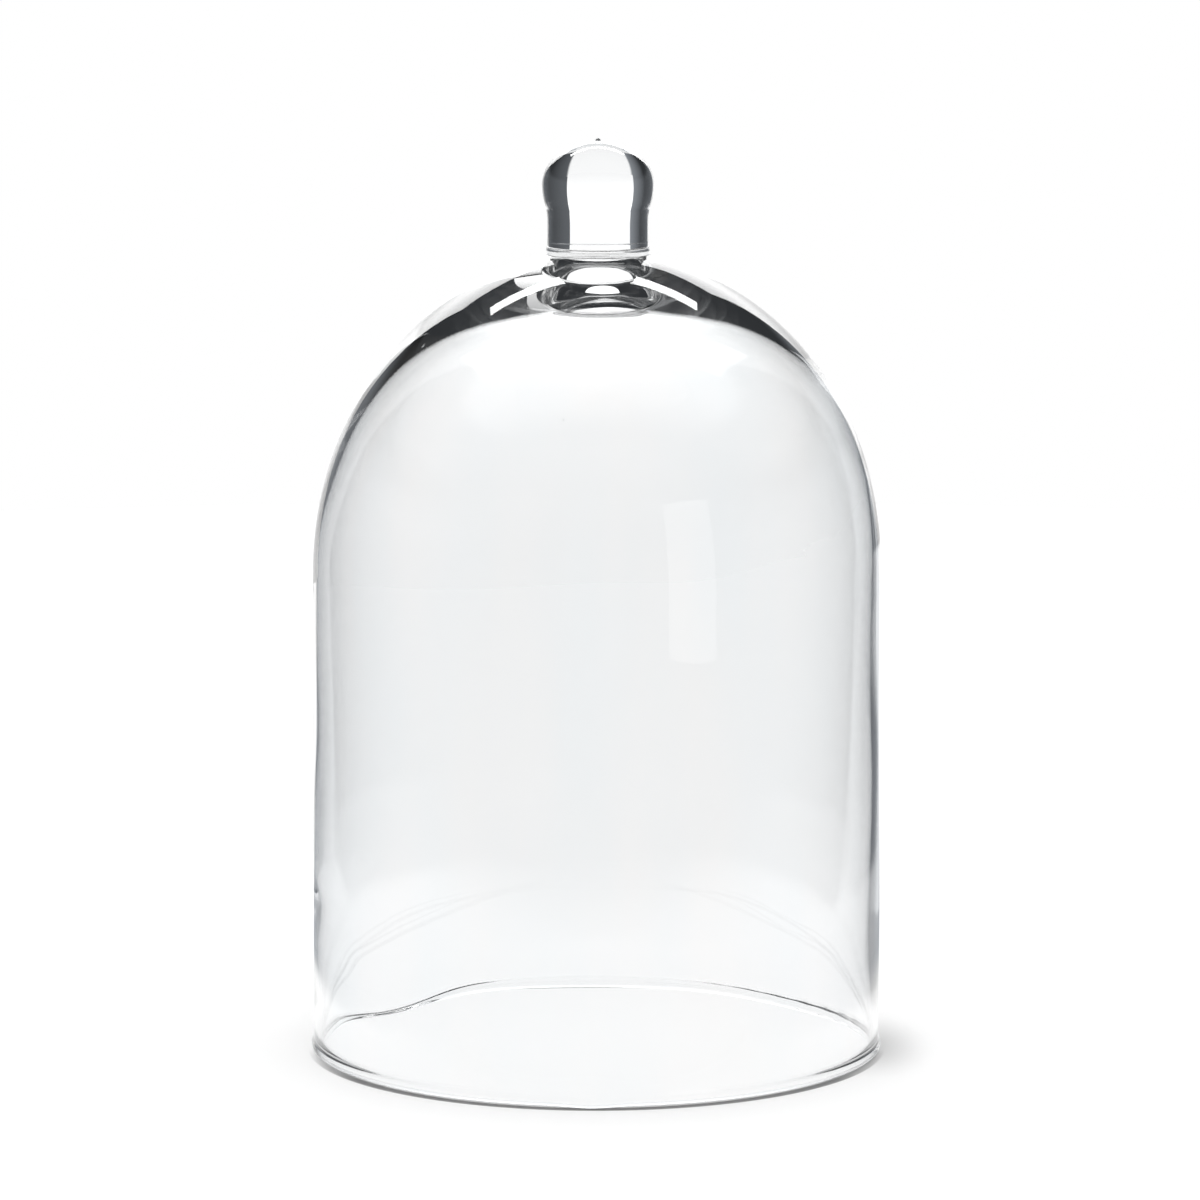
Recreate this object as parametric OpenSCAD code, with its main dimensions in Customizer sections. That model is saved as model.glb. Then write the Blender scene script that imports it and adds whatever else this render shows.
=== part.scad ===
// Hand-blown glass bell jar dome with a solid glass knob.
// Z is the axis of the bell, and z = 0 is the plane that its rim stands on.

/* [Bell] */
// Outer diameter of the straight wall
bell_d = 180; // [170:1:190]
// Thickness of the straight wall
wall_t = 2.4; // [2:0.1:3]
// Height at which the outside starts to curve in
shoulder_z = 152; // [130:1:170]

/* [Crown] */
// Radius of the outside curve just above the straight wall
shoulder_r = 127; // [110:1:140]
// Angle that the shoulder curve turns through
shoulder_turn = 15; // [10:1:20]
// Radius of the outside curve up the flank of the crown
flank_r = 97; // [92:1:100]
// Angle from level at which the flank gives way to the cap
flank_turn = 68; // [60:1:72]
// Height at which the inside starts to curve in
inner_shoulder_z = 152.6; // [150:0.2:156]
// Radius of the inside curve just above the straight wall
inner_shoulder_r = 121.4; // [110:0.2:125]
// Angle that the inside shoulder curve turns through
inner_shoulder_turn = 18.2; // [14:0.2:22]
// Radius of the inside curve up the flank of the crown
inner_flank_r = 76.4; // [72:0.2:80]
// Angle from level at which the inside flank gives way to the ceiling
inner_flank_turn = 63.7; // [60:0.1:68]

/* [Rim] */
// Radius of the rounded bead that the rim is melted into
bead_r = 2; // [1.8:0.05:2.4]
// Height of the middle of the bead above the plane that it stands on
bead_z = 1.8; // [1.6:0.05:1.9]

/* [Knob] */
// Diameter of the neck of the knob, which is also that of its seat
neck_d = 31.8; // [28:0.1:34]
// Height of the collar of glass between the crown and the knob
collar_h = 2.8; // [2:0.1:4]
// How far the collar stands out past the neck
collar_flare = 0.4; // [0.2:0.1:1]
// Greatest diameter of the knob
knob_d = 35.2; // [34.4:0.1:38]
// Height of the knob without its tip
knob_h = 33; // [31:0.5:36]
// Height of the widest level of the knob above its seat
knob_wide_h = 19.4; // [18:0.1:20]
// Radius of the curve over the widest level
knob_over_r = 10.5; // [9.5:0.5:12]
// Radius of the curve under the widest level
knob_under_r = 22; // [20:1:26]
// Radius of the hollow curve that runs out into the neck
knob_hollow_r = 20; // [14:1:24]
// Radius of the tip left where the gather was cut off
tip_r = 1.1; // [0.8:0.1:1.4]
// Height of the tip above the top of the knob
tip_h = 0.8; // [0.4:0.1:1]

/* [Hidden] */
$fn = 180;

// Greatest angle between two neighbouring points of a curve
arc_step = 2.5;

glass_color = [0.86, 0.93, 0.94, 0.45];
knob_color = [0.62, 0.72, 0.76, 0.6];

bell_r = bell_d / 2;
inner_r = bell_r - wall_t;
neck_r = neck_d / 2;
knob_r = knob_d / 2;

// The wall stands on the middle of the bead, where the bead is just as wide as the wall.
bead_x = bell_r - wall_t / 2;
bead_top = bead_z + sqrt(pow(bead_r, 2) - pow(wall_t / 2, 2));

// Centres of the three outside curves. Each one lies on the last radius of the curve before
// it, so the curves are smooth where they meet, and the cap's centre lies on the axis.
shoulder_c = [bell_r - shoulder_r, shoulder_z];
flank_c = shoulder_c + (shoulder_r - flank_r) * heading(shoulder_turn);
cap_r = flank_r + flank_c.x / cos(flank_turn);
cap_c = flank_c + (flank_r - cap_r) * heading(flank_turn);

// Centres of the three inside curves, again with the last one on the axis. They leave the
// glass thicker towards the top of the crown.
inner_shoulder_c = [inner_r - inner_shoulder_r, inner_shoulder_z];
inner_flank_c = inner_shoulder_c + (inner_shoulder_r - inner_flank_r) * heading(inner_shoulder_turn);
ceiling_r = inner_flank_r + inner_flank_c.x / cos(inner_flank_turn);
ceiling_c = inner_flank_c + (inner_flank_r - ceiling_r) * heading(inner_flank_turn);

// The crown is cut level where the collar stands on it.
foot_r = neck_r + collar_flare;
seat_turn = acos(foot_r / cap_r);
seat_z = cap_c.y + cap_r * sin(seat_turn);
knob_z = seat_z + collar_h;
knob_top = knob_z + knob_h;
wide_z = knob_z + knob_wide_h;

// The dome of the knob is smooth with the curve over its widest level.
over_c = [knob_r - knob_over_r, wide_z];
dome_rise = knob_top - wide_z;
dome_r = (pow(over_c.x, 2) + pow(dome_rise, 2) - pow(knob_over_r, 2)) / (2 * (dome_rise - knob_over_r));
dome_c = [0, knob_top - dome_r];
dome_turn = atan2(wide_z - dome_c.y, over_c.x);

// The hollow curve is smooth with both the neck and the curve under the widest level.
under_c = [knob_r - knob_under_r, wide_z];
hollow_x = neck_r + knob_hollow_r;
hollow_drop = sqrt(pow(knob_under_r + knob_hollow_r, 2) - pow(hollow_x - under_c.x, 2));
hollow_c = [hollow_x, wide_z - hollow_drop];
under_turn = atan2(-hollow_drop, hollow_x - under_c.x);

// The tip is the top of a small ball that stands out of the dome.
tip_c = [0, knob_top + tip_h - tip_r];
tip_rise = tip_c.y - dome_c.y;
tip_edge_z = dome_c.y + (pow(tip_rise, 2) + pow(dome_r, 2) - pow(tip_r, 2)) / (2 * tip_rise);
tip_turn = asin((tip_edge_z - tip_c.y) / tip_r);
tip_edge_turn = asin((tip_edge_z - dome_c.y) / dome_r);

function heading(a) = [cos(a), sin(a)];

// Points along a curve of one radius, between two angles from level
function arc(centre, r, from, to) =
    let (steps = ceil(abs(to - from) / arc_step))
    [for (i = [0 : steps]) centre + r * heading(from + (to - from) * i / steps)];

// The blown wall, and the thick crown that was left where the gather cooled first
module bell_shell() {
    outside = concat(
        [[inner_r, bead_top], [bell_r, bead_top]],
        arc(shoulder_c, shoulder_r, 0, shoulder_turn),
        arc(flank_c, flank_r, shoulder_turn, flank_turn),
        arc(cap_c, cap_r, flank_turn, seat_turn)
    );
    inside = concat(
        arc(ceiling_c, ceiling_r, 90, inner_flank_turn),
        arc(inner_flank_c, inner_flank_r, inner_flank_turn, inner_shoulder_turn),
        arc(inner_shoulder_c, inner_shoulder_r, inner_shoulder_turn, 0)
    );
    color(glass_color)
        rotate_extrude()
            polygon(concat(outside, [[0, seat_z]], inside));
}

// The fire-polished bead of the rim, flush with the wall inside and standing proud outside
module rim_bead() {
    color(glass_color)
        rotate_extrude()
            intersection() {
                translate([bead_x, bead_z])
                    circle(bead_r);
                translate([inner_r, 0])
                    square([2 * bead_r, bead_top]);
            }
}

// The wafer of hot glass that joins the knob to the crown
module knob_collar() {
    color(glass_color)
        rotate_extrude()
            difference() {
                translate([0, seat_z])
                    square([foot_r, collar_h]);
                translate([foot_r, knob_z])
                    circle(collar_flare);
            }
}

// The solid gather that is the handle, with the small tip where it was cut off
module knob() {
    outline = concat(
        [[0, knob_z], [neck_r, knob_z]],
        arc(hollow_c, knob_hollow_r, 180, 180 + under_turn),
        arc(under_c, knob_under_r, under_turn, 0),
        arc(over_c, knob_over_r, 0, dome_turn),
        arc(dome_c, dome_r, dome_turn, tip_edge_turn),
        arc(tip_c, tip_r, tip_turn, 90)
    );
    color(knob_color)
        rotate_extrude()
            polygon(outline);
}

bell_shell();
rim_bead();
knob_collar();
knob();
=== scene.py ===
import math

import bpy
from mathutils import Matrix, Vector

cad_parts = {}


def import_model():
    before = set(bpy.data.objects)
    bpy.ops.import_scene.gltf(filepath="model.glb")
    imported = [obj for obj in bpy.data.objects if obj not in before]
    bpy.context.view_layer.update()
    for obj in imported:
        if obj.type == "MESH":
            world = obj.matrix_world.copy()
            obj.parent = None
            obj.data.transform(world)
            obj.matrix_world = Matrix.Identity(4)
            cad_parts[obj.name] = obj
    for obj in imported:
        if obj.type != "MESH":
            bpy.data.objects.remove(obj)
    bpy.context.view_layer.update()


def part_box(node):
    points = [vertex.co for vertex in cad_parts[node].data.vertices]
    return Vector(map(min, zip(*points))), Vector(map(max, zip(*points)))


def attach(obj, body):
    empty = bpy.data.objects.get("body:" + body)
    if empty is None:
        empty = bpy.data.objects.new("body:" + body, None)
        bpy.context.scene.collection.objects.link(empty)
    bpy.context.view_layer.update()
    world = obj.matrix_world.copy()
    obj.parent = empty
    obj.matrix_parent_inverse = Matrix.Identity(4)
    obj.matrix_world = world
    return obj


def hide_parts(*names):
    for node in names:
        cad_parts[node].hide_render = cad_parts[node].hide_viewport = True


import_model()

MM = 0.001
SEGMENTS = 360                 # faces round the axis

# ---------------------------------------------------------------- sizes from the frame
shell_low, shell_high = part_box("bell_shell")
rim_low, rim_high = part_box("rim_bead")
collar_low, collar_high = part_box("knob_collar")
knob_low, knob_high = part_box("knob")

WALL_R = shell_high.x          # outside of the straight wall
SEAM_Z = shell_low.z           # where the wall stands on the bead of the rim
SEAT_Z = shell_high.z          # where the collar stands on the crown
FOOT_R = collar_high.x         # radius of the collar's foot
KNOB_Z = knob_low.z            # where the knob stands on the collar
KNOB_R = knob_high.x           # radius of the knob at its widest
KNOB_TOP = knob_high.z
RIM_R = rim_high.x             # outside of the bead of the rim

# ---------------------------------------------------------------- sizes of the curves
WALL = 2.4 * MM                # thickness of the straight wall
SHOULDER_Z = 152 * MM
SHOULDER_R = 127 * MM
SHOULDER_TURN = 15
FLANK_R = 97 * MM
FLANK_TURN = 68
INNER_SHOULDER_Z = 152.6 * MM
INNER_SHOULDER_R = 121.4 * MM
INNER_SHOULDER_TURN = 18.2
INNER_FLANK_R = 76.4 * MM
INNER_FLANK_TURN = 63.7
LENS_R = 12 * MM               # the low lens of glass that hangs under the knob
LENS_DROP = 0.6 * MM
BEAD_Z = 1.8 * MM              # height of the bead's widest level outside
BEAD_INNER_Z = 1.6 * MM        # and inside
BEAD_END_Z = 6.0 * MM          # where the bead has run out into the straight wall
BEAD_IN = 0.4 * MM             # how far the bead stands in from the wall at its widest
SEAM_OUT = 0.22 * MM           # how far the bead stands out from the wall at the seam
SEAM_IN = 0.12 * MM            # how far it stands in there
COLLAR_ROUND = 0.5 * MM        # height of the rounded top edge of the collar
NECK_R = 15.9 * MM
NECK_START = 0.6 * MM          # height above the crease at which the neck is straight
CREASE = 0.03 * MM             # how deep the crease between collar and knob is
WIDE_H = 19.4 * MM
UNDER_R = 22 * MM
HOLLOW_R = 20 * MM
OVER_R = 10.5 * MM
TIP_H = 0.8 * MM
TIP_TURN = 86                  # angle from level at which the dome gives way to the tip

# The greatest angle between two neighbouring points of a curve, in degrees
COARSE = 3.0
MEDIUM = 2.0
FINE = 1.5
FINEST = 1.0

# How many stretches the straight and the free curves are cut into
WALL_STEPS = 44
INNER_WALL_STEPS = 60
NECK_STEPS = 6
BEND_STEPS = 8
FOOT_STEPS = 14
LENS_STEPS = 24

# ---------------------------------------------------------------- sizes of the unevenness
# A spot is (angle round the axis from +X, spread) in degrees. A hump is (middle, spread) and a
# ramp is (start, end), and both are heights, or distances from the axis, in metres.
LEAN = 0.6 * MM / KNOB_TOP     # how far the axis leans towards +X for each metre of height
SLIDE = 1.5 * MM               # how far the inside of the crown sits towards +X
SLIDE_RAMP = (150 * MM, 232 * MM)

FOOT_LIFT = 0.55 * MM          # how far the foot hangs clear between the places that it rests on
FOOT_RAMP = (2 * MM, 25 * MM)
DRIP_SPOT = (-91, 5)           # the drip under the front of the rim
DRIP_BULGE = 0.5 * MM
DRIP_RAMP = (88 * MM, 90 * MM)
LOW_SPOTS = (DRIP_SPOT, (150, 40), (20, 45))

TALL_BEAD = 0.25               # how much taller the bead is in one stretch
TALL_SPOT = (95, 18)
FLAT_BEAD = 0.55               # how much flatter it is in another
FLAT_SPOT = (140, 20)
RIPPLE = 0.10 * MM             # the fine ripples that the shears left in one stretch of the rim
RIPPLE_SPOT = (40, 22)
RIPPLE_COUNT = 46              # as many as a whole turn would hold
RIPPLE_RAMP = (0.2 * MM, 1.5 * MM)

RIM_RAMP = (2.5 * MM, 12 * MM)
RIM_CALM = 0.7                 # the share of the wall's unevenness that the rim doesn't have
AXIS_RAMP = (0, 12 * MM)
WALL_END = (150 * MM, 215 * MM)
CROWN_END = (240 * MM, 252 * MM)

OFF_CENTRE = 0.45 * MM         # how much thinner the wall is at -X, and thicker at +X
THIN_SIDE = 180
OFF_CENTRE_RAMP = (5 * MM, 40 * MM)
LEFT_SPOT = (180, 16)          # the side of the wall that has the scoop and the ridge
SCOOP = 0.5 * MM               # a hollow in the inside of the wall
SCOOP_HUMP = (66 * MM, 28 * MM)
SCOOP_RAMP = (49 * MM, 57 * MM)
RIDGE = 0.35 * MM              # a low ridge under the scoop
RIDGE_HUMP = (45 * MM, 9 * MM)
PATCH = 0.8 * MM               # a thicker patch in the front wall at the left
PATCH_SPOT = (220, 20)
PATCH_RAMP = (16 * MM, 38 * MM)
PATCH_END = (45 * MM, 110 * MM)

# Each wave is (depth, times round the axis, turns in radians for each metre up, start).
INNER_WAVES = ((0.05 * MM, 3, 40, 0), (0.035 * MM, 7, -65, 1.3))
OUTER_WAVES = ((0.06 * MM, 2, 25, 0.6), (0.03 * MM, 5, 55, 0))

# Each seed is (angle round the axis, turn up the flank, half width, half length).
SEEDS = ((206.9, 44.7, 0.45 * MM, 0.8 * MM), (-98.0, 31.5, 0.16 * MM, 0.16 * MM))
SEED_DEPTH = 1.3 * MM          # how deep under the outside a seed lies
SEED_SIDES = 16
SEED_ROWS = 8

# ---------------------------------------------------------------- sizes of the glass
GLASS_IOR = 1.52
CORD_SCALE = (30, 30, 7)       # the faint cords in the glass are drawn out along the axis
CORD_DEPTH = 0.0002
CORD_EDGES = (0.35, 0.65)      # the levels of the noise where the tint is full and where it is gone
CLEAR_TINT = (0.980, 0.992, 0.998)
CLEAR_WAVE = 0.25
SOLID_TINT = (0.983, 0.992, 0.997)
SOLID_WAVE = 0.1


# ---------------------------------------------------------------- outlines
def heading(angle):
    """The unit vector at an angle from level, as (radius, height)."""
    return Vector((math.cos(math.radians(angle)), math.sin(math.radians(angle))))


def arc(centre, radius, start, end, step=MEDIUM):
    """Points along a curve of one radius, between two angles from level."""
    steps = max(1, math.ceil(abs(end - start) / step))
    return [centre + radius * heading(start + (end - start) * i / steps) for i in range(steps + 1)]


def bezier(a, b, c, d, steps):
    """Points along a cubic curve from a to d, led by b and c."""
    points = []
    for i in range(steps + 1):
        t = i / steps
        s = 1 - t
        points.append(s ** 3 * a + 3 * s * s * t * b + 3 * s * t * t * c + t ** 3 * d)
    return points


def straight(a, b, steps):
    """Points along a straight line."""
    return [a.lerp(b, i / steps) for i in range(steps + 1)]


def chain(*runs):
    """Joins runs of points end to end, and drops the repeated point at each joint."""
    points = list(runs[0])
    for run in runs[1:]:
        points += run[1:] if (run[0] - points[-1]).length < 1e-7 else run
    return points


def at(radius, height):
    """A step across and up, given in millimetres."""
    return Vector((radius * MM, height * MM))


def centres(wall_r, shoulder_z, shoulder_r, shoulder_turn, flank_r, flank_turn):
    """The centres of three smooth curves above a straight wall, and the radius of the last."""
    shoulder_c = Vector((wall_r - shoulder_r, shoulder_z))
    flank_c = shoulder_c + (shoulder_r - flank_r) * heading(shoulder_turn)
    cap_r = flank_r + flank_c.x / math.cos(math.radians(flank_turn))
    cap_c = flank_c + (flank_r - cap_r) * heading(flank_turn)
    return shoulder_c, flank_c, cap_c, cap_r


def outer_centres():
    return centres(WALL_R, SHOULDER_Z, SHOULDER_R, SHOULDER_TURN, FLANK_R, FLANK_TURN)


def inner_centres():
    return centres(
        WALL_R - WALL,
        INNER_SHOULDER_Z,
        INNER_SHOULDER_R,
        INNER_SHOULDER_TURN,
        INNER_FLANK_R,
        INNER_FLANK_TURN,
    )


def crown_curves():
    """The three smooth outside curves, from the straight wall up to the collar."""
    shoulder_c, flank_c, cap_c, cap_r = outer_centres()
    seat_turn = math.degrees(math.acos(FOOT_R / cap_r))
    return chain(
        arc(shoulder_c, SHOULDER_R, 0, SHOULDER_TURN),
        arc(flank_c, FLANK_R, SHOULDER_TURN, FLANK_TURN, FINE),
        arc(cap_c, cap_r, FLANK_TURN, seat_turn, FINE),
    )


def collar_curve(start):
    """The flank of the collar, a hair wider than the neck, which ends in a fine crease."""
    end = Vector((NECK_R - CREASE, KNOB_Z))
    wall = Vector((start.x, KNOB_Z - COLLAR_ROUND))
    return chain(
        straight(start, wall, NECK_STEPS),
        bezier(wall, wall + at(0, 0.3), end + at(0.25, 0), end, BEND_STEPS),
    )


def knob_curve():
    """The knob from the crease at its seat, round the neck and the dome, to the tip."""
    seat = Vector((NECK_R - CREASE, KNOB_Z))
    neck = Vector((NECK_R, KNOB_Z + NECK_START))
    wide_z = KNOB_Z + WIDE_H
    under_c = Vector((KNOB_R - UNDER_R, wide_z))
    hollow_x = NECK_R + HOLLOW_R
    drop = math.sqrt((UNDER_R + HOLLOW_R) ** 2 - (hollow_x - under_c.x) ** 2)
    hollow_c = Vector((hollow_x, wide_z - drop))
    under_turn = math.degrees(math.atan2(-drop, hollow_x - under_c.x))
    over_c = Vector((KNOB_R - OVER_R, wide_z))
    dome_top = KNOB_TOP - TIP_H
    rise = dome_top - wide_z
    dome_r = (over_c.x ** 2 + rise ** 2 - OVER_R ** 2) / (2 * (rise - OVER_R))
    dome_c = Vector((0, dome_top - dome_r))
    dome_turn = math.degrees(math.atan2(wide_z - dome_c.y, over_c.x))
    tip_foot = dome_c + dome_r * heading(TIP_TURN)
    tip_end = Vector((0, KNOB_TOP))
    return chain(
        bezier(seat, seat + at(0.02, 0.15), neck + at(0, -0.3), neck, BEND_STEPS),
        straight(neck, Vector((NECK_R, hollow_c.y)), NECK_STEPS),
        arc(hollow_c, HOLLOW_R, 180, 180 + under_turn, FINE),
        arc(under_c, UNDER_R, under_turn, 0, FINE),
        arc(over_c, OVER_R, 0, dome_turn, COARSE),
        arc(dome_c, dome_r, dome_turn, TIP_TURN, MEDIUM),
        bezier(tip_foot, tip_foot + at(-0.6, 0.05), tip_end + at(0.7, 0), tip_end, BEND_STEPS),
    )


def outer_bead():
    """The outside of the rim's bead in two runs, from the middle of its foot and from the seam."""
    foot = Vector((WALL_R - WALL / 2, 0))
    wide = Vector((RIM_R, BEAD_Z))
    seam = Vector((WALL_R + SEAM_OUT, SEAM_Z))
    wall = Vector((WALL_R, BEAD_END_Z))
    below = bezier(foot, foot + at(1.2, 0), wide + at(0, -1.1), wide, FOOT_STEPS)
    middle = bezier(wide, wide + at(0, 0.75), seam + at(0.16, -0.6), seam, BEND_STEPS)
    above = bezier(seam, seam + at(-0.14, 0.6), wall + at(0, -1.0), wall, BEND_STEPS)
    return chain(below, middle), above


def inner_bead():
    """The inside of the rim's bead, in the same two runs."""
    foot = Vector((WALL_R - WALL / 2, 0))
    wide = Vector((WALL_R - WALL - BEAD_IN, BEAD_INNER_Z))
    seam = Vector((WALL_R - WALL - SEAM_IN, SEAM_Z))
    wall = Vector((WALL_R - WALL, BEAD_END_Z))
    below = bezier(foot, foot + at(-1.0, 0), wide + at(0, -0.9), wide, FOOT_STEPS)
    middle = bezier(wide, wide + at(0, 0.7), seam + at(-0.1, -0.6), seam, BEND_STEPS)
    above = bezier(seam, seam + at(0.08, 0.6), wall + at(0, -1.0), wall, BEND_STEPS)
    return chain(below, middle), above


def ceiling_curves():
    """The inside of the crown: three smooth curves, then a low lens on the axis."""
    shoulder_c, flank_c, cap_c, cap_r = inner_centres()
    lens_turn = math.degrees(math.acos(LENS_R / cap_r))
    lens_edge = cap_c + cap_r * heading(lens_turn)
    lens_end = Vector((0, cap_c.y + cap_r - LENS_DROP))
    edge_lead = lens_edge + Vector((-0.3 * LENS_R, 0.25 * LENS_DROP))
    end_lead = lens_end + Vector((0.45 * LENS_R, 0))
    return chain(
        arc(shoulder_c, INNER_SHOULDER_R, 0, INNER_SHOULDER_TURN, FINE),
        arc(flank_c, INNER_FLANK_R, INNER_SHOULDER_TURN, INNER_FLANK_TURN, FINE),
        arc(cap_c, cap_r, INNER_FLANK_TURN, lens_turn, FINEST),
        bezier(lens_edge, edge_lead, end_lead, lens_end, LENS_STEPS),
    )


# ---------------------------------------------------------------- unevenness of blown glass
def hump(value, middle, width):
    """1 at the middle, falling smoothly to nearly 0 beyond the width."""
    return math.exp(-((value - middle) / width) ** 2)


def angle_hump(angle, middle, width):
    """The same round the axis, in degrees."""
    off = (angle - middle + 180) % 360 - 180
    return math.exp(-(off / width) ** 2)


def ease(value, low, high):
    """0 below low, 1 above high, smooth between."""
    t = min(1, max(0, (value - low) / (high - low)))
    return t * t * (3 - 2 * t)


def waves(angle, height, shapes):
    """Slow waves that wind round the axis and up the wall, added together."""
    turn = math.radians(angle)
    total = 0
    for depth, count, rise, start in shapes:
        total += depth * math.sin(turn * count + height * rise + start)
    return total


def foot_lift(angle):
    """How far the foot stands off the surface: it rests on a drip and two low places."""
    rests = sum(angle_hump(angle, *spot) for spot in LOW_SPOTS)
    return FOOT_LIFT * (1 - min(1, rests))


def bead_height(angle):
    """The height of the bead, as a share of its usual height."""
    return 1 + TALL_BEAD * angle_hump(angle, *TALL_SPOT) - FLAT_BEAD * angle_hump(angle, *FLAT_SPOT)


def ripple(angle):
    """How far the shears' ripples stand out."""
    return RIPPLE * angle_hump(angle, *RIPPLE_SPOT) * math.sin(math.radians(angle) * RIPPLE_COUNT)


def inner_shift(angle, height):
    """How far the inside stands further out than its true place, which makes the wall thinner."""
    thinner = OFF_CENTRE * math.cos(math.radians(angle - THIN_SIDE)) * ease(height, *OFF_CENTRE_RAMP)
    side = angle_hump(angle, *LEFT_SPOT)
    scoop = SCOOP * side * hump(height, *SCOOP_HUMP) * ease(height, *SCOOP_RAMP)
    ridge = -RIDGE * side * hump(height, *RIDGE_HUMP)
    patch = -PATCH * angle_hump(angle, *PATCH_SPOT)
    patch *= ease(height, *PATCH_RAMP) * (1 - ease(height, *PATCH_END))
    fade = 1 - ease(height, *WALL_END)
    return (thinner + patch + scoop + ridge) * fade + waves(angle, height, INNER_WAVES)


def outer_shift(angle, height):
    """How far the outside stands out from its true place."""
    return waves(angle, height, OUTER_WAVES) * (1 - ease(height, *CROWN_END))


def slide(height):
    """How far the inside of the crown sits towards +X: the glass is thicker on the other side."""
    return SLIDE * ease(height, *SLIDE_RAMP)


def place(point, angle, shift, inner=False):
    """The place in space of an outline's point at an angle round the axis, with the unevenness."""
    radius, height = point
    across = slide(height) if inner else 0
    near_rim = 1 - ease(height, *RIM_RAMP)
    off_axis = ease(radius, *AXIS_RAMP)
    radius += shift(angle, height) * off_axis * (1 - RIM_CALM * near_rim)
    radius += ripple(angle) * near_rim * ease(height, *RIPPLE_RAMP)
    radius += DRIP_BULGE * angle_hump(angle, *DRIP_SPOT) * near_rim * ease(radius, *DRIP_RAMP)
    height *= 1 + (bead_height(angle) - 1) * near_rim
    height += foot_lift(angle) * (1 - ease(height, *FOOT_RAMP))
    turn = math.radians(angle)
    return Vector((radius * math.cos(turn) + LEAN * height + across, radius * math.sin(turn), height))


def sweep(outline, shift, inner=False):
    """Rows of places, one row for each point of the outline."""
    return [[place(p, 360 * j / SEGMENTS, shift, inner) for j in range(SEGMENTS)] for p in outline]


def row_normals(rows, outward):
    """The smooth surface direction at every place, measured across its neighbours."""
    normals = []
    for i, row in enumerate(rows):
        below = rows[max(0, i - 1)]
        above = rows[min(len(rows) - 1, i + 1)]
        line = []
        for j in range(SEGMENTS):
            along = above[j] - below[j]
            around = row[(j + 1) % SEGMENTS] - row[j - 1]
            normal = around.cross(along) * outward
            line.append(normal.normalized() if normal.length > 1e-12 else None)
        normals.append(line)
    for i, line in enumerate(normals):
        if None in line:
            up = 1 if rows[i][0].z > rows[i - 1][0].z else -1
            normals[i] = [Vector((0, 0, up))] * SEGMENTS
    return normals


# ---------------------------------------------------------------- meshes
class Skin:
    """Gathers rings of places into one closed mesh, with its own surface directions."""

    def __init__(self):
        self.verts = []
        self.normals = []
        self.faces = []
        self.slots = []

    def ring(self, places, normals):
        """Adds a ring of places, and returns where it starts."""
        start = len(self.verts)
        self.verts += places
        self.normals += normals
        return start

    def point(self, spot, normal):
        """Adds one place, and returns where it is."""
        self.verts.append(spot)
        self.normals.append(normal)
        return len(self.verts) - 1

    def face(self, corners, slot=0):
        """Adds one face between places that were added before."""
        self.faces.append(corners)
        self.slots.append(slot)

    def band(self, low, high, slot=0):
        """Faces between two rings; counter-clockwise from outside when high is the upper ring."""
        for j in range(SEGMENTS):
            k = (j + 1) % SEGMENTS
            self.face((low + j, low + k, high + k, high + j), slot)

    def fan(self, ring, middle, flip, slot=0):
        """Faces from a ring to one place on the axis."""
        for j in range(SEGMENTS):
            corners = (ring + j, ring + (j + 1) % SEGMENTS, middle)
            self.face(corners[::-1] if flip else corners, slot)

    def mesh(self, name, materials):
        """Makes the object, and returns it."""
        mesh = bpy.data.meshes.new(name)
        mesh.from_pydata([tuple(v) for v in self.verts], [], self.faces)
        for material in materials:
            mesh.materials.append(material)
        mesh.polygons.foreach_set("material_index", self.slots)
        mesh.polygons.foreach_set("use_smooth", [True] * len(self.faces))
        mesh.update()
        mesh.normals_split_custom_set_from_vertices([tuple(n) for n in self.normals])
        piece = bpy.data.objects.new(name, mesh)
        bpy.context.scene.collection.objects.link(piece)
        return piece


def wrap(skin, rows, normals, inside=False, closed=False):
    """Adds the rows of an outline to a skin, and closes the last one to a point on the axis."""
    rings = [skin.ring(r, n) for r, n in zip(rows[:-1] if closed else rows, normals)]
    for low, high in zip(rings, rings[1:]):
        if inside:
            skin.band(high, low)
        else:
            skin.band(low, high)
    if closed:
        top = skin.point(rows[-1][0], normals[-1][0])
        skin.fan(rings[-1], top, flip=inside)
    return rings


def seed(skin, angle, turn, width, length):
    """A small bubble in the glass, under the outside of the crown at a turn up its flank."""
    flank_c = outer_centres()[1]
    radius, height = flank_c + (FLANK_R - SEED_DEPTH) * heading(turn)
    around = Matrix.Rotation(math.radians(angle), 3, "Z")
    middle = around @ Vector((radius, 0, height)) + Vector((LEAN * height, 0, 0))
    attitude = around @ Matrix.Rotation(math.radians(-turn), 3, "Y")

    def spot(i, j):
        up = math.pi * (i / SEED_ROWS - 0.5)
        side = 2 * math.pi * j / SEED_SIDES
        ball = Vector((math.cos(up) * math.cos(side), math.cos(up) * math.sin(side), math.sin(up)))
        offset = attitude @ Vector((ball.x * width, ball.y * width, ball.z * length))
        outward = attitude @ Vector((ball.x / width, ball.y / width, ball.z / length)).normalized()
        return skin.point(middle + offset, -outward)

    rings = [[spot(i, j) for j in range(SEED_SIDES)] for i in range(1, SEED_ROWS)]
    low = spot(0, 0)
    high = spot(SEED_ROWS, 0)
    for j in range(SEED_SIDES):
        k = (j + 1) % SEED_SIDES
        skin.face((rings[0][j], rings[0][k], low))
        skin.face((rings[-1][k], rings[-1][j], high))
        for below, above in zip(rings, rings[1:]):
            skin.face((below[j], above[j], above[k], below[k]))


bead_out, above_out = outer_bead()
bead_in, above_in = inner_bead()
crown = crown_curves()
collar = collar_curve(crown[-1])
ceiling = ceiling_curves()

wall_out = straight(above_out[-1], crown[0], WALL_STEPS)
wall_in = straight(above_in[-1], ceiling[0], INNER_WALL_STEPS)
shell_out = chain(above_out, wall_out, crown)
shell_in = chain(above_in, wall_in, ceiling)

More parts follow.
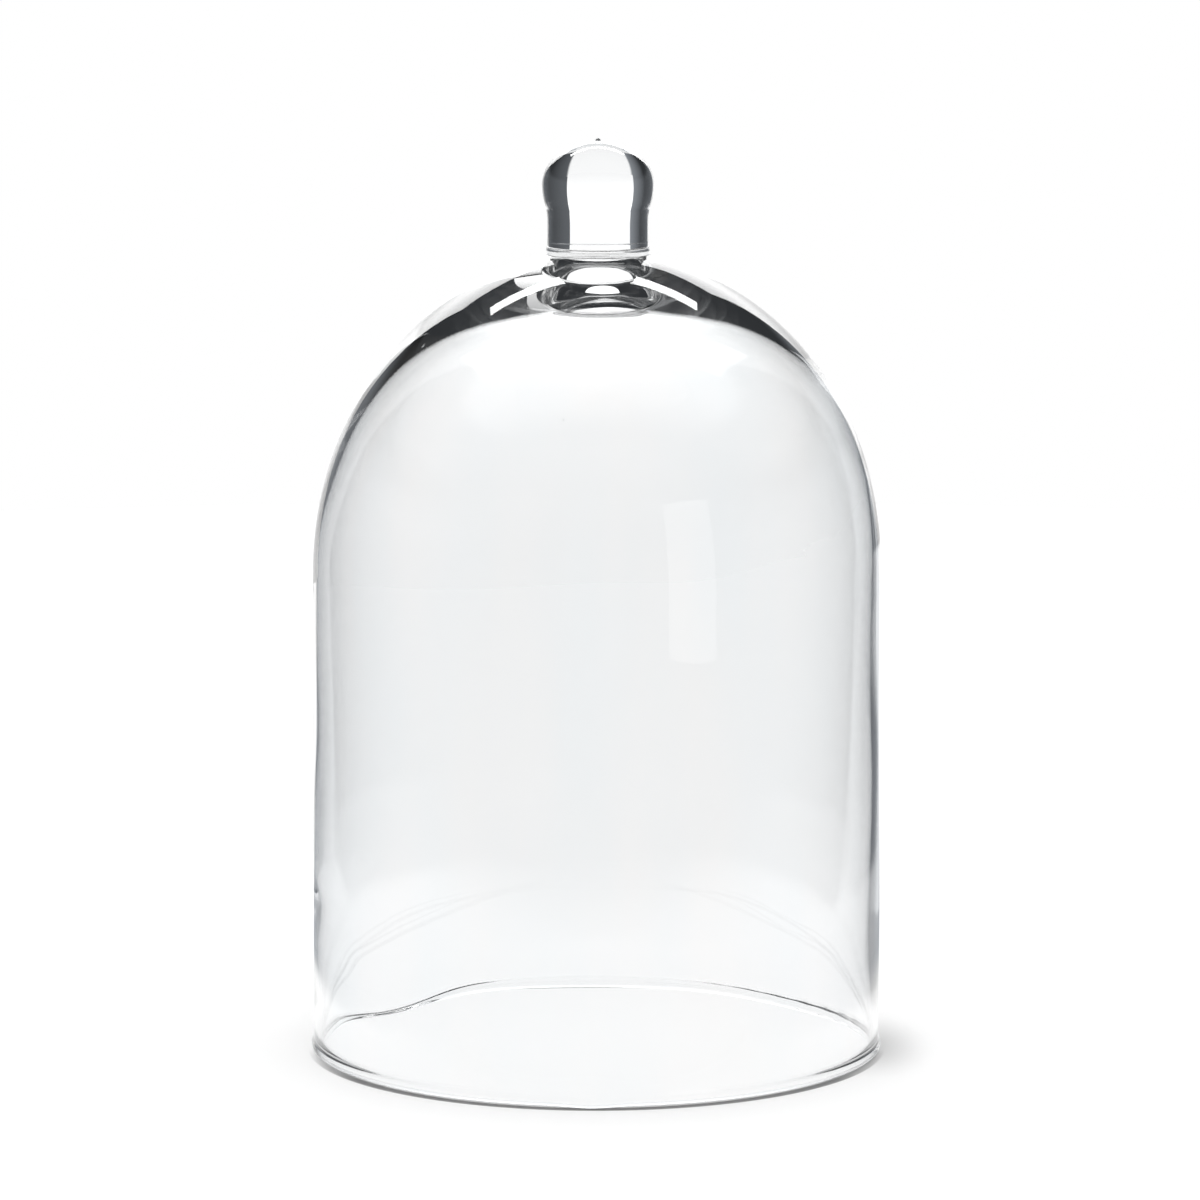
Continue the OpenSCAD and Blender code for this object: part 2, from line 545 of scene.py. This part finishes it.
outer_rows = sweep(chain(bead_out, shell_out, collar, knob_curve()), outer_shift)
inner_rows = sweep(chain(bead_in, shell_in), inner_shift, inner=True)
outer_normals = row_normals(outer_rows, 1)
inner_normals = row_normals(inner_rows, -1)

seam_row = len(bead_out) - 1
seat_row = seam_row + len(shell_out) - 1
knob_row = seat_row + len(collar) - 1
inner_seam_row = len(bead_in) - 1


# ---------------------------------------------------------------- materials
def glass(name, tint, wave):
    """Clear glass with faint cords, which tint it and make its surface a little uneven."""
    material = bpy.data.materials.new(name)
    material.use_nodes = True
    nodes = material.node_tree.nodes
    links = material.node_tree.links
    shader = nodes["Principled BSDF"]
    shader.inputs["Transmission Weight"].default_value = 1
    shader.inputs["IOR"].default_value = GLASS_IOR
    shader.inputs["Roughness"].default_value = 0.0
    coords = nodes.new("ShaderNodeTexCoord")
    stretch = nodes.new("ShaderNodeMapping")
    stretch.inputs["Scale"].default_value = CORD_SCALE
    cords = nodes.new("ShaderNodeTexNoise")
    cords.inputs["Scale"].default_value = 1.0
    cords.inputs["Detail"].default_value = 2.0
    bump = nodes.new("ShaderNodeBump")
    bump.inputs["Strength"].default_value = wave
    bump.inputs["Distance"].default_value = CORD_DEPTH
    ramp = nodes.new("ShaderNodeValToRGB")
    colors = ((*tint, 1), (1, 1, 1, 1))
    for element, position, color in zip(ramp.color_ramp.elements, CORD_EDGES, colors):
        element.position = position
        element.color = color
    links.new(coords.outputs["Object"], stretch.inputs["Vector"])
    links.new(stretch.outputs["Vector"], cords.inputs["Vector"])
    links.new(cords.outputs["Fac"], bump.inputs["Height"])
    links.new(cords.outputs["Fac"], ramp.inputs["Fac"])
    links.new(ramp.outputs["Color"], shader.inputs["Base Color"])
    links.new(bump.outputs["Normal"], shader.inputs["Normal"])
    return material


def fused():
    """Where two pieces were melted together, light goes straight on."""
    material = bpy.data.materials.new("fused_glass")
    material.use_nodes = True
    nodes = material.node_tree.nodes
    nodes.clear()
    clear = nodes.new("ShaderNodeBsdfTransparent")
    output = nodes.new("ShaderNodeOutputMaterial")
    material.node_tree.links.new(clear.outputs["BSDF"], output.inputs["Surface"])
    return material


clear_glass = glass("clear_glass", CLEAR_TINT, CLEAR_WAVE)
solid_glass = glass("solid_glass", SOLID_TINT, SOLID_WAVE)
fused_glass = fused()


# ---------------------------------------------------------------- pieces
def finish_piece(piece, node):
    """Hangs a piece on the root body and hides the CAD solid that it replaces."""
    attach(piece, "root")
    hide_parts(node)


def on_axis(skin, height, up):
    """A point of the leaning axis, where the flat end of a piece is closed."""
    return skin.point(Vector((LEAN * height, 0, height)), Vector((0, 0, up)))


def make_rim():
    skin = Skin()
    out = wrap(skin, outer_rows[: seam_row + 1], outer_normals[: seam_row + 1])
    rows = inner_rows[1 : inner_seam_row + 1]
    normals = inner_normals[1 : inner_seam_row + 1]
    inn = [out[0]] + [skin.ring(r, n) for r, n in zip(rows, normals)]
    for low, high in zip(inn, inn[1:]):
        skin.band(high, low)
    skin.band(out[-1], inn[-1], slot=1)
    finish_piece(skin.mesh("rim_bead_glass", [clear_glass, fused_glass]), "rim_bead")


def make_shell():
    skin = Skin()
    out = wrap(skin, outer_rows[seam_row : seat_row + 1], outer_normals[seam_row : seat_row + 1])
    inn = wrap(skin, inner_rows[inner_seam_row:], inner_normals[inner_seam_row:], inside=True, closed=True)
    skin.band(inn[0], out[0], slot=1)
    skin.fan(out[-1], on_axis(skin, SEAT_Z, 1), flip=False, slot=1)
    for shape in SEEDS:
        seed(skin, *shape)
    finish_piece(skin.mesh("bell_shell_glass", [clear_glass, fused_glass]), "bell_shell")


def make_collar():
    skin = Skin()
    out = wrap(skin, outer_rows[seat_row : knob_row + 1], outer_normals[seat_row : knob_row + 1])
    skin.fan(out[0], on_axis(skin, SEAT_Z, -1), flip=True, slot=1)
    skin.fan(out[-1], on_axis(skin, KNOB_Z, 1), flip=False, slot=1)
    finish_piece(skin.mesh("knob_collar_glass", [solid_glass, fused_glass]), "knob_collar")


def make_knob():
    skin = Skin()
    out = wrap(skin, outer_rows[knob_row:], outer_normals[knob_row:], closed=True)
    skin.fan(out[0], on_axis(skin, KNOB_Z, -1), flip=True, slot=1)
    finish_piece(skin.mesh("knob_glass", [solid_glass, fused_glass]), "knob")


make_rim()
make_shell()
make_collar()
make_knob()


# ---------------------------------------------------------------- sizes of the stage
# Lengths are in metres. A ramp is (from, to), between which a share goes from 0 to 1, or
# (from, to, value at from, value at to).
def turns(start, end, *values):
    """A ramp over angles in degrees, given in the radians that the nodes work in."""
    return (math.radians(start), math.radians(end), *values)


SKY = 1.22                     # the world, as the matt floor sees it
WHITE = 1.0                    # the world, as the camera sees it
WINDOW_GLOW = 1.05             # the world, as glass shows it where it is bright
WINDOW_SPANS = ((-90, 15), (180, 15), (135, 16))    # middle and half width
WINDOW_SOFT = 2
WINDOW_TOP = (0.62, 0.5)
DARK_GLOW = 0.035              # the dimmest surroundings that the glass shows
DUSK_COLOR = (0.92, 0.98, 1.06)
DUSK_RIGHT = turns(50, -30, DARK_GLOW, 0.30)
DUSK_LEFT = turns(-26, -46, 0.30, DARK_GLOW)
SIDE_NEAR = turns(35, 110, 1.6, 0.5)
SIDE_FAR = turns(100, 140, 0.5, DARK_GLOW)
SIDE_TOP = (0.35, 0.15, DARK_GLOW, 1.0)

OVERHEAD_GLOW = 1.3
OVERHEAD_RISE = 0.02           # the least rise that the slopes are worked out for
OVERHEAD_NEAR = (0.31, 0.35)   # slopes from the upright, towards the back and to the right
OVERHEAD_END = (0.97, 0.93)
OVERHEAD_LEFT = (-0.62, -0.58)
OVERHEAD_RIGHT = (0.57, 0.53)

FLOOR_R = 1.3
FLOOR_Z = -0.0002
FLOOR_SIDES = 120
FLOOR_MATT = (0.12, 0.12, 0.12, 1)
FLOOR_GLOW = 0.894
# Painted light on the floor as the glass shows it: extra glow, strongest under the bell and faint around
# it, gone at the end.
PAINTED_FLOOR_LIGHT = (0.115, 0.085, 0.018, 0.075)
PAINTED_FLOOR_LIGHT_END = (0.36, 0.25)
FRONT_FADE = (-0.12, 0.04, 0.0, 1.0)
NEAR_FLOOR = (0.2, 0.14)
WIDE_FLOOR = (0.36, 0.32)
WIDE_SHARE = 0.3               # how much of the wide floor is lit for reflections inside the glass
BEHIND_LEFT = turns(-29, -26)
BEHIND_RIGHT = turns(25.5, 22.5)
CAMERA_FLOOR_MATT = 0.8
CAMERA_FLOOR_GLOW = 0.22
# The painted shadow under the front of the rim: where it ends outside and inside, and how strong it grows
# towards the front.
GAP_OUTSIDE = (0.0924, 0.0912)
GAP_INSIDE = (0.087, 0.089)
GAP_FRONT = (-0.005, -0.05, 0.0, 0.7)
SHADOW_X = 0.088               # the middle of the painted soft shadow, just to the right of the rim
SHADOW_SQUASH = 0.4            # its width, as a share of its length
SHADOW_DEPTH = (0.022, 0.0, 0.0, 0.3)

CARD_DISTANCE = 1.0
CARD_LEFT = -0.545
CARD_RIGHT = 0.44
CARD_TOP = 0.87
CARD_MIRRORED = (0.05, 0.35, 1.04, 1.3)
CARD_MIRRORED_TOP = (0.3, 0.62, 0.0, 2.2)
CARD_THROUGH = (0.02, 0.2, 1.03, 1.12)
CARD_THROUGH_MIDDLE = (0.2, 0.5, 0.0, 0.28)
CARD_THROUGH_TOP = (0.5, 0.75)
CARD_TRAPPED = (5.0, 8.0, 1.0, 0.35)
EDGE_MIDDLE = (0.37, 0.46, -0.26, -0.10)
EDGE_LOW = (0.22, 0.37, -0.40, -0.26)
EDGE_TOP = (0.46, 0.48, 0.0, 0.7)
EDGE_SOFT = (-0.008, 0.008)

STRIP_HEIGHT = 3.0
STRIP_THROUGH = 1.6            # the strip, as bent light sees it
STRIP_GLOW = 9.0               # what is added to it in reflections
STRIP_NEAR = 0.74              # its edges, as slopes from the upright
STRIP_END = 0.93
STRIP_LEFT = -0.60
STRIP_RIGHT = 0.55


# ---------------------------------------------------------------- nodes of the stage
class Graph:
    """Short ways to add and join nodes of one node tree."""

    def __init__(self, tree, light="ShaderNodeEmission"):
        self.nodes = tree.nodes
        self.links = tree.links
        self.light = light
        self.nodes.clear()

    def join(self, value, socket):
        """Links a value to a socket, or sets the socket to a number or colour."""
        if isinstance(value, bpy.types.NodeSocket):
            self.links.new(value, socket)
        else:
            socket.default_value = value

    def math(self, kind, a, b=None):
        node = self.nodes.new("ShaderNodeMath")
        node.operation = kind
        self.join(a, node.inputs[0])
        if b is not None:
            self.join(b, node.inputs[1])
        return node.outputs[0]

    def total(self, first, *rest):
        for value in rest:
            first = self.math("ADD", first, value)
        return first

    def product(self, first, *rest):
        for value in rest:
            first = self.math("MULTIPLY", first, value)
        return first

    def highest(self, first, *rest):
        for value in rest:
            first = self.math("MAXIMUM", first, value)
        return first

    def rest_of(self, share):
        """What a share leaves of 1."""
        return self.math("SUBTRACT", 1.0, share)

    def distance(self, a, b):
        """The distance from the origin, along two directions."""
        return self.math("SQRT", self.total(self.product(a, a), self.product(b, b)))

    def none_of(self, count):
        """1 where a count is still 0."""
        return self.math("LESS_THAN", count, 0.5)

    def at_least(self, count, number):
        """1 where a count has reached a number."""
        return self.math("GREATER_THAN", count, number - 0.5)

    def line(self, value, low, high, to_low=0.0, to_high=1.0, kind="LINEAR"):
        """A ramp: to_low up to low, to_high from high on, and a straight line between."""
        node = self.nodes.new("ShaderNodeMapRange")
        node.interpolation_type = kind
        names = ("Value", "From Min", "From Max", "To Min", "To Max")
        for name, number in zip(names, (value, low, high, to_low, to_high)):
            self.join(number, node.inputs[name])
        return node.outputs["Result"]

    def smooth(self, value, *ramp):
        """The same ramp with soft ends."""
        return self.line(value, *ramp, kind="SMOOTHSTEP")

    def within(self, angle, middle, half, soft):
        """1 inside a span of angles in degrees, 0 outside, smooth at the ends."""
        off = self.math("WRAP", self.math("SUBTRACT", angle, math.radians(middle)), math.pi)
        off.node.inputs[2].default_value = -math.pi
        return self.smooth(self.math("ABSOLUTE", off), *turns(half + soft, half - soft))

    def coordinates(self, kind):
        """The X, Y and Z of one kind of coordinates."""
        coords = self.nodes.new("ShaderNodeTexCoord")
        split = self.nodes.new("ShaderNodeSeparateXYZ")
        self.links.new(coords.outputs[kind], split.inputs["Vector"])
        return split.outputs["X"], split.outputs["Y"], split.outputs["Z"]

    def path(self):
        return self.nodes.new("ShaderNodeLightPath").outputs

    def glow(self, strength, color=(1, 1, 1)):
        node = self.nodes.new(self.light)
        node.inputs["Color"].default_value = (*color, 1)
        self.join(strength, node.inputs["Strength"])
        return node.outputs[0]

    def matt(self, color):
        node = self.nodes.new("ShaderNodeBsdfDiffuse")
        self.join(color, node.inputs["Color"])
        return node.outputs[0]

    def both(self, a, b):
        """Two shaders added together."""
        node = self.nodes.new("ShaderNodeAddShader")
        self.links.new(a, node.inputs[0])
        self.links.new(b, node.inputs[1])
        return node.outputs[0]

    def choose(self, factor, a, b):
        """The shader a where the factor is 0, and b where it is 1."""
        node = self.nodes.new("ShaderNodeMixShader")
        self.join(factor, node.inputs[0])
        self.links.new(a, node.inputs[1])
        self.links.new(b, node.inputs[2])
        return node.outputs[0]


def stage_material(name):
    """A new material, its empty graph and the socket that its surface is joined to."""
    material = bpy.data.materials.new(name)
    material.use_nodes = True
    g = Graph(material.node_tree)
    return material, g, g.nodes.new("ShaderNodeOutputMaterial").inputs["Surface"]


def stage_mesh(name, verts, faces, material):
    mesh = bpy.data.meshes.new(name)
    mesh.from_pydata(verts, [], faces)
    mesh.materials.append(material)
    thing = bpy.data.objects.new(name, mesh)
    bpy.context.scene.collection.objects.link(thing)
    return thing


def card(name, corners, material, refracted):
    """A flat card that reflections see, and perhaps bent light too, but not the camera."""
    thing = stage_mesh(name, corners, [(0, 1, 3, 2)], material)
    thing.visible_camera = False
    thing.visible_diffuse = False
    thing.visible_glossy = True
    thing.visible_transmission = refracted
    thing.visible_shadow = False
    thing.visible_volume_scatter = False


# ---------------------------------------------------------------- kinds of light path
def unreflected(g, path):
    """1 for light that nothing has mirrored."""
    return g.none_of(path["Glossy Depth"])


def unscattered(g, path):
    """1 for light that the matt floor has not scattered."""
    return g.none_of(path["Diffuse Depth"])


def looked_straight_through(g, path):
    """1 for light that only passed through thin glass, with no reflection on its way."""
    return g.product(unreflected(g, path), g.at_least(path["Transmission Depth"], 3))


def mirrored(g, path):
    """1 for light that comes straight off an outer surface; a refracted ray counts as glossy too."""
    return g.math("SUBTRACT", path["Is Glossy Ray"], path["Is Transmission Ray"])


# ---------------------------------------------------------------- surroundings of the glass
def side_views(g, azimuth):
    """1 in the directions behind the object as seen from its other sides."""
    return g.highest(*[g.within(azimuth, middle, half, WINDOW_SOFT) for middle, half in WINDOW_SPANS])


def dusk(g, path, azimuth):
    """The faint light beside the lit card, as seen through the glass."""
    faint = g.math("MINIMUM", g.line(azimuth, *DUSK_RIGHT), g.line(azimuth, *DUSK_LEFT))
    return g.highest(g.product(faint, unreflected(g, path)), DARK_GLOW)


def side_glow(g, azimuth):
    """The dim room beside the lit card, as seen in reflections."""
    turn = g.math("ABSOLUTE", azimuth)
    return g.math("MINIMUM", g.line(turn, *SIDE_NEAR), g.line(turn, *SIDE_FAR))


def overhead(g, x, y, z):
    """The wide soft patch above and behind the object, as seen by light reflected inside the glass."""
    rise = g.highest(z, OVERHEAD_RISE)
    along = g.math("DIVIDE", y, rise)
    across = g.math("DIVIDE", x, rise)
    return g.product(
        g.smooth(along, *OVERHEAD_NEAR),
        g.smooth(along, *OVERHEAD_END),
        g.smooth(across, *OVERHEAD_LEFT),
        g.smooth(across, *OVERHEAD_RIGHT),
        OVERHEAD_GLOW,
    )


def world():
    """The studio: white for the camera, and dim or bright for the glass by the kind of light path."""
    studio = bpy.data.worlds.new("studio")
    bpy.context.scene.world = studio
    studio.use_nodes = True
    g = Graph(studio.node_tree, "ShaderNodeBackground")
    output = g.nodes.new("ShaderNodeOutputWorld")
    path = g.path()
    x, y, z = g.coordinates("Generated")
    azimuth = g.math("ARCTAN2", x, y)
    views = g.product(side_views(g, azimuth), unreflected(g, path), g.smooth(z, *WINDOW_TOP))
    once = g.product(path["Is Transmission Ray"], g.math("COMPARE", path["Glossy Depth"], 1.0))
    windows = g.highest(views, looked_straight_through(g, path), g.product(once, overhead(g, x, y, z)))
    beside = g.glow(dusk(g, path, azimuth), DUSK_COLOR)
    through = g.choose(windows, beside, g.glow(g.highest(windows, WINDOW_GLOW)))
    dark = g.glow(g.product(side_glow(g, azimuth), g.smooth(z, *SIDE_TOP)), DUSK_COLOR)
    sky = g.glow(SKY)
    seen = g.choose(path["Is Camera Ray"], sky, g.glow(WHITE))
    seen = g.choose(path["Is Glossy Ray"], seen, dark)
    seen = g.choose(path["Is Transmission Ray"], seen, through)
    g.links.new(g.choose(g.at_least(path["Diffuse Depth"], 1), seen, sky), output.inputs["Surface"])


# ---------------------------------------------------------------- floor
def clear_of_painted_gap_shadow(g, y, radius):
    """1 on the open floor, and less where a shadow is painted in the narrow gap under the front of the
    rim.
    """
    return g.rest_of(g.product(
        g.smooth(radius, *GAP_OUTSIDE),
        g.smooth(radius, *GAP_INSIDE),
        g.line(y, *GAP_FRONT),
    ))


def camera_glow(g, x, y, radius):
    """The glow of the camera's floor, dimmer in the soft shadow painted to the right of the rim and in the
    shadow painted in the gap under its front.
    """
    off = g.distance(g.math("SUBTRACT", x, SHADOW_X), g.product(y, SHADOW_SQUASH))
    clear = g.math("SUBTRACT", CAMERA_FLOOR_GLOW, g.smooth(off, *SHADOW_DEPTH))
    return g.product(clear, clear_of_painted_gap_shadow(g, y, radius))


def lit_floor(g, path, y, radius, azimuth):
    """1 where the glass shows the pale floor, and 0 where it shows dim surroundings."""
    not_in_front = g.line(y, *FRONT_FADE)
    beside = g.product(not_in_front, g.rest_of(mirrored(g, path)))
    wide = g.highest(unreflected(g, path), g.product(beside, WIDE_SHARE))
    near = g.product(g.smooth(radius, *NEAR_FLOOR), not_in_front)
    around = g.product(g.smooth(radius, *WIDE_FLOOR), wide)
    behind = g.product(g.smooth(azimuth, *BEHIND_LEFT), g.smooth(azimuth, *BEHIND_RIGHT))
    windows = g.product(unreflected(g, path), side_views(g, azimuth))
    clear = g.product(g.highest(windows, looked_straight_through(g, path)), path["Is Transmission Ray"])
    return g.highest(near, around, behind, clear)


def floor():
    """The pale surface that the bell stands on, with painted shadows by the rim and painted light under
    the bell. The camera's floor and the glass's floor differ.
    """
    material, g, surface = stage_material("pale_floor")
    path = g.path()
    x, y, _ = g.coordinates("Object")
    azimuth = g.math("ARCTAN2", x, y)
    radius = g.distance(x, y)
    # The painted light on the floor that the glass shows, under and around the bell.
    lift = g.product(g.smooth(radius, *PAINTED_FLOOR_LIGHT), g.smooth(radius, *PAINTED_FLOOR_LIGHT_END))
    pale = g.both(g.matt(FLOOR_MATT), g.glow(g.total(FLOOR_GLOW, lift)))
    dim = g.highest(g.product(mirrored(g, path), side_glow(g, azimuth)), dusk(g, path, azimuth))
    for_glass = g.choose(lit_floor(g, path, y, radius, azimuth), g.glow(dim, DUSK_COLOR), pale)
    # The camera's floor has the gap's painted shadow in both its matt colour and its glow.
    matt = g.matt(g.product(clear_of_painted_gap_shadow(g, y, radius), CAMERA_FLOOR_MATT))
    for_camera = g.both(matt, g.glow(camera_glow(g, x, y, radius)))
    by_glass = g.highest(path["Is Transmission Ray"], path["Is Glossy Ray"])
    g.links.new(g.choose(by_glass, for_camera, for_glass), surface)
    verts = [(0, 0, FLOOR_Z)]
    faces = []
    for i in range(FLOOR_SIDES):
        turn = math.radians(360 * i / FLOOR_SIDES)
        verts.append((FLOOR_R * math.cos(turn), FLOOR_R * math.sin(turn), FLOOR_Z))
        faces.append((0, 1 + i, 1 + (i + 1) % FLOOR_SIDES))
    stage_mesh("floor", verts, faces, material)


# ---------------------------------------------------------------- cards
def backdrop():
    """The lit card behind the object, brighter towards its top; only the glass shows it."""
    material, g, surface = stage_material("lit_card")
    path = g.path()
    across, _, height = g.coordinates("Object")
    mirror = mirrored(g, path)
    off_surface = g.total(g.smooth(height, *CARD_MIRRORED), g.smooth(height, *CARD_MIRRORED_TOP))
    through = g.total(
        g.line(height, *CARD_THROUGH),
        g.line(height, *CARD_THROUGH_MIDDLE),
        g.smooth(height, *CARD_THROUGH_TOP),
    )
    strength = g.product(
        g.total(g.product(off_surface, mirror), g.product(through, g.rest_of(mirror))),
        unscattered(g, path),
        g.line(path["Glossy Depth"], *CARD_TRAPPED),
    )
    # Light reflected inside the glass sees the card's left part dark, up to a slanting edge.
    inner = g.product(path["Is Transmission Ray"], g.at_least(path["Glossy Depth"], 1))
    edge = g.highest(g.line(height, *EDGE_MIDDLE), g.line(height, *EDGE_LOW))
    edge = g.total(edge, g.line(height, *EDGE_TOP))
    kept = g.smooth(g.math("SUBTRACT", across, edge), *EDGE_SOFT)
    lost = g.product(inner, g.math("SUBTRACT", 1.0 - DARK_GLOW, kept))
    g.links.new(g.glow(g.product(strength, g.rest_of(lost))), surface)
    corners = [(x, CARD_DISTANCE, z) for z in (0.0, CARD_TOP) for x in (CARD_LEFT, CARD_RIGHT)]
    card("backdrop_card", corners, material, refracted=True)


def overhead_strip():
    """The long light over and behind the object: reflections show it as the bright arch of the crown."""
    material, g, surface = stage_material("overhead_strip")
    path = g.path()
    strength = g.total(STRIP_THROUGH, g.product(mirrored(g, path), STRIP_GLOW))
    g.links.new(g.glow(g.product(strength, unscattered(g, path))), surface)
    rise = STRIP_HEIGHT - SEAT_Z
    slopes = [(x, y) for y in (STRIP_NEAR, STRIP_END) for x in (STRIP_LEFT, STRIP_RIGHT)]
    corners = [(x * rise, y * rise, STRIP_HEIGHT) for x, y in slopes]
    card("overhead_strip", corners, material, refracted=True)


def softbox(name, azimuth, width, low, high, distance, strength):
    """A card that only reflections see; azimuth is from -Y, positive to the right."""
    material, g, surface = stage_material(name)
    g.links.new(g.glow(strength), surface)
    turn = math.radians(azimuth)
    middle = Vector((math.sin(turn), -math.cos(turn), 0)) * distance
    across = Vector((math.cos(turn), math.sin(turn), 0)) * (width / 2)
    corners = [(c.x, c.y, z) for z in (low, high) for c in (middle - across, middle + across)]
    card(name, corners, material, refracted=False)


floor()
backdrop()
overhead_strip()
world()
softbox("window_reflection", azimuth=36.7, width=0.30, low=0.005, high=0.52, distance=0.9, strength=0.85)


# ---------------------------------------------------------------- camera
CAMERA_ASIDE = 0.0012
CAMERA_DISTANCE = 2.0
CAMERA_HEIGHT = 0.4445
CAMERA_PITCH = 8.55            # degrees down from level
CAMERA_LENS = 191.8
CAMERA_SENSOR = 36
CAMERA_NEAR = 0.05
CAMERA_FAR = 60

camera_data = bpy.data.cameras.new("camera")
camera_data.sensor_width = CAMERA_SENSOR
camera_data.lens = CAMERA_LENS
camera_data.clip_start = CAMERA_NEAR
camera_data.clip_end = CAMERA_FAR
camera = bpy.data.objects.new("camera", camera_data)
camera.location = (CAMERA_ASIDE, -CAMERA_DISTANCE, CAMERA_HEIGHT)
camera.rotation_euler = (math.radians(90 - CAMERA_PITCH), 0, 0)

scene = bpy.context.scene
scene.collection.objects.link(camera)
scene.camera = camera
scene.view_settings.view_transform = "Standard"

# The thick crown traps light for many reflections before it lets it out.
scene.cycles.max_bounces = 48
scene.cycles.transmission_bounces = 32
scene.cycles.glossy_bounces = 40
scene.cycles.transparent_max_bounces = 16
